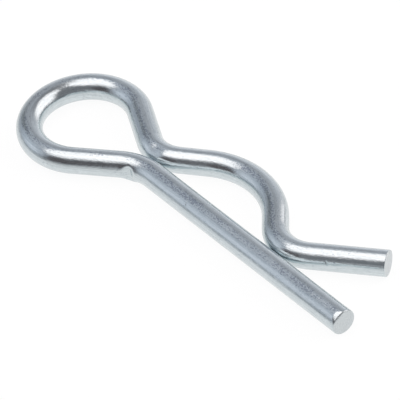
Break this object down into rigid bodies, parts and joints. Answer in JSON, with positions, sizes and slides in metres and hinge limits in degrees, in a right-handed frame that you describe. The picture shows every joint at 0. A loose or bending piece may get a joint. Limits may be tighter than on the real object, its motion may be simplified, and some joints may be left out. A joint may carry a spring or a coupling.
{
  "type": "hitch r clip pin",
  "caption": "Spring wire R clip with a straight leg that goes through a cross hole, a round pull loop and a humped leg that snaps over the shaft.",
  "frame": {"origin": "on the axis of the shaft that the clip locks, where the axis of the straight leg crosses it, at the middle of the wire's thickness", "axes": "+X along the straight leg towards its tip, +Y towards the humped leg, +Z along the shaft and square to the clip's flat, up as the clip lies"},
  "size_m": [0.0707, 0.0247, 0.004],
  "materials": {
    "zinc_wire": "bright zinc plating on drawn round steel wire, with fine grain and drawing lines"
  },
  "bodies": {
    "root": {"clip": "zinc_wire"}
  },
  "joints": []
}
